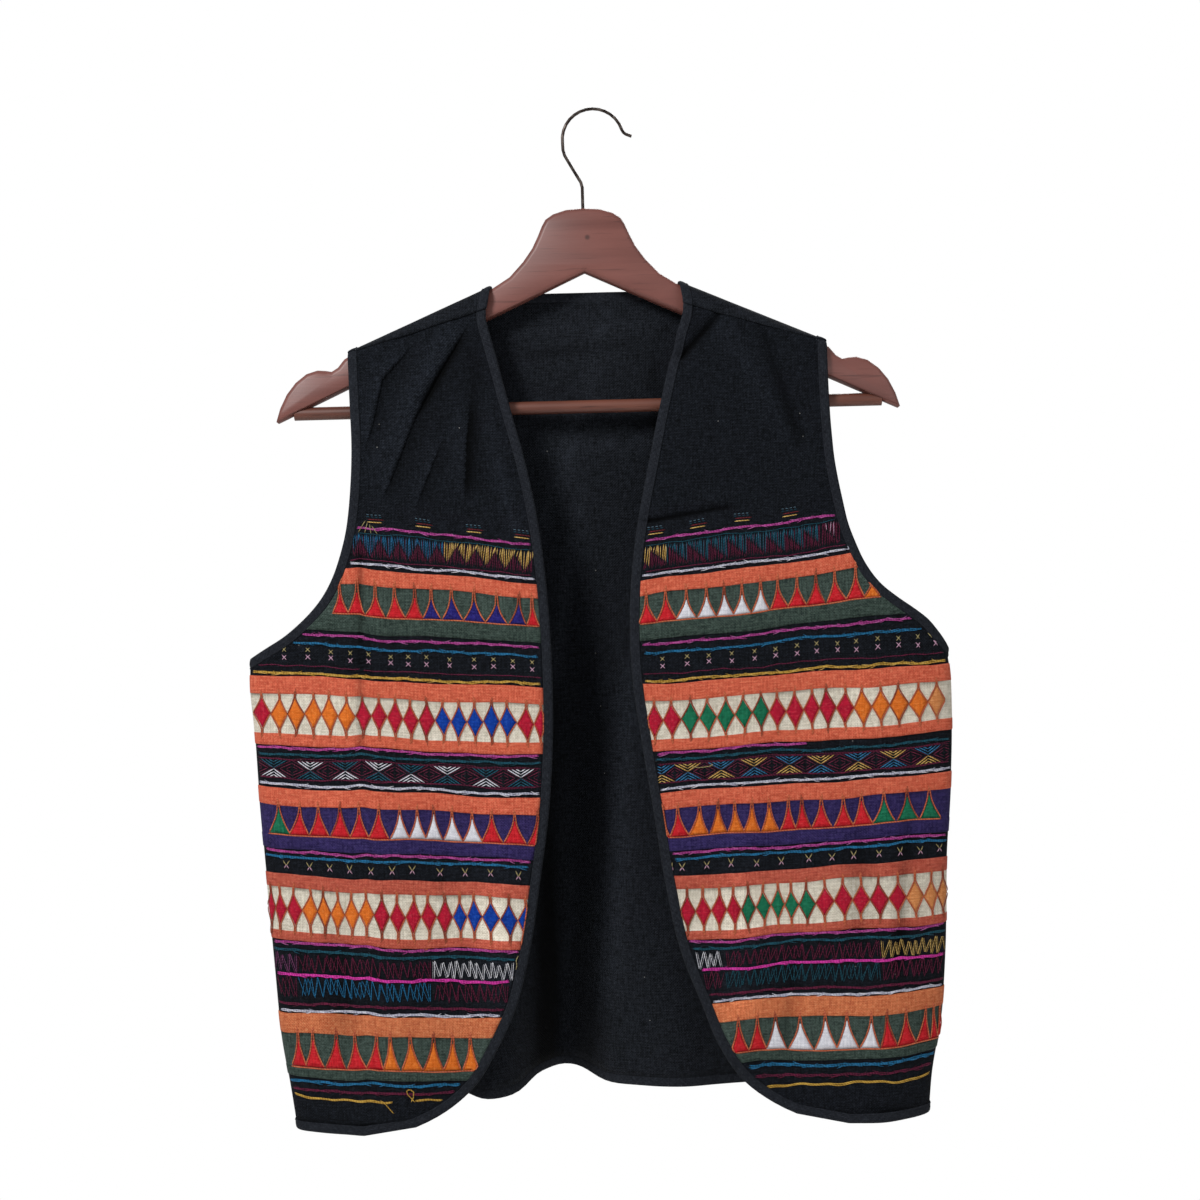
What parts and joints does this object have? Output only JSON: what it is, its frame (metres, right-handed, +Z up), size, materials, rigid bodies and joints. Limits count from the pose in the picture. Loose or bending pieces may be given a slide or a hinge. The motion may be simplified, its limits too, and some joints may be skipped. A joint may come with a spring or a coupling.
{
  "type": "vest on clothes hanger",
  "caption": "Sleeveless open-fronted folk vest of black cotton with applied and embroidered bands across the fronts, hanging on a wooden clothes hanger with a wire hook.",
  "frame": {"origin": "the inside top of the hanger's hook, where a rail or wall hook carries it", "axes": "+X to the wearer's left (the viewer's right), +Y away from the viewer through the vest's back, +Z up"},
  "size_m": [0.5059, 0.1022, 0.7298],
  "materials": {
    "black_cotton": "matt handwoven cotton",
    "binding_cotton": "matt bias-cut cotton, folded",
    "applique_cotton": "thin matt plain-weave cotton in several colours",
    "embroidery_thread": "stranded cotton thread with a soft sheen",
    "hanger_wood": "stained and lacquered hardwood, satin",
    "hook_wire": "dark oxidised steel wire"
  },
  "bodies": {
    "root": {"back": "black_cotton", "front_right": "black_cotton", "front_left": "black_cotton", "binding_front_right": "binding_cotton", "binding_front_left": "binding_cotton", "binding_armhole_right": "binding_cotton", "binding_armhole_left": "binding_cotton", "binding_neck": "binding_cotton", "binding_hem": "binding_cotton", "band_a_right": "applique_cotton", "band_b_right": "applique_cotton", "band_c_right": "applique_cotton", "band_d_right": "applique_cotton", "band_e_right": "applique_cotton", "band_a_left": "applique_cotton", "band_b_left": "applique_cotton", "band_c_left": "applique_cotton", "band_d_left": "applique_cotton", "band_e_left": "applique_cotton", "hanger_board": "hanger_wood", "hanger_bar": "hanger_wood", "hanger_hook": "hook_wire"}
  },
  "joints": []
}
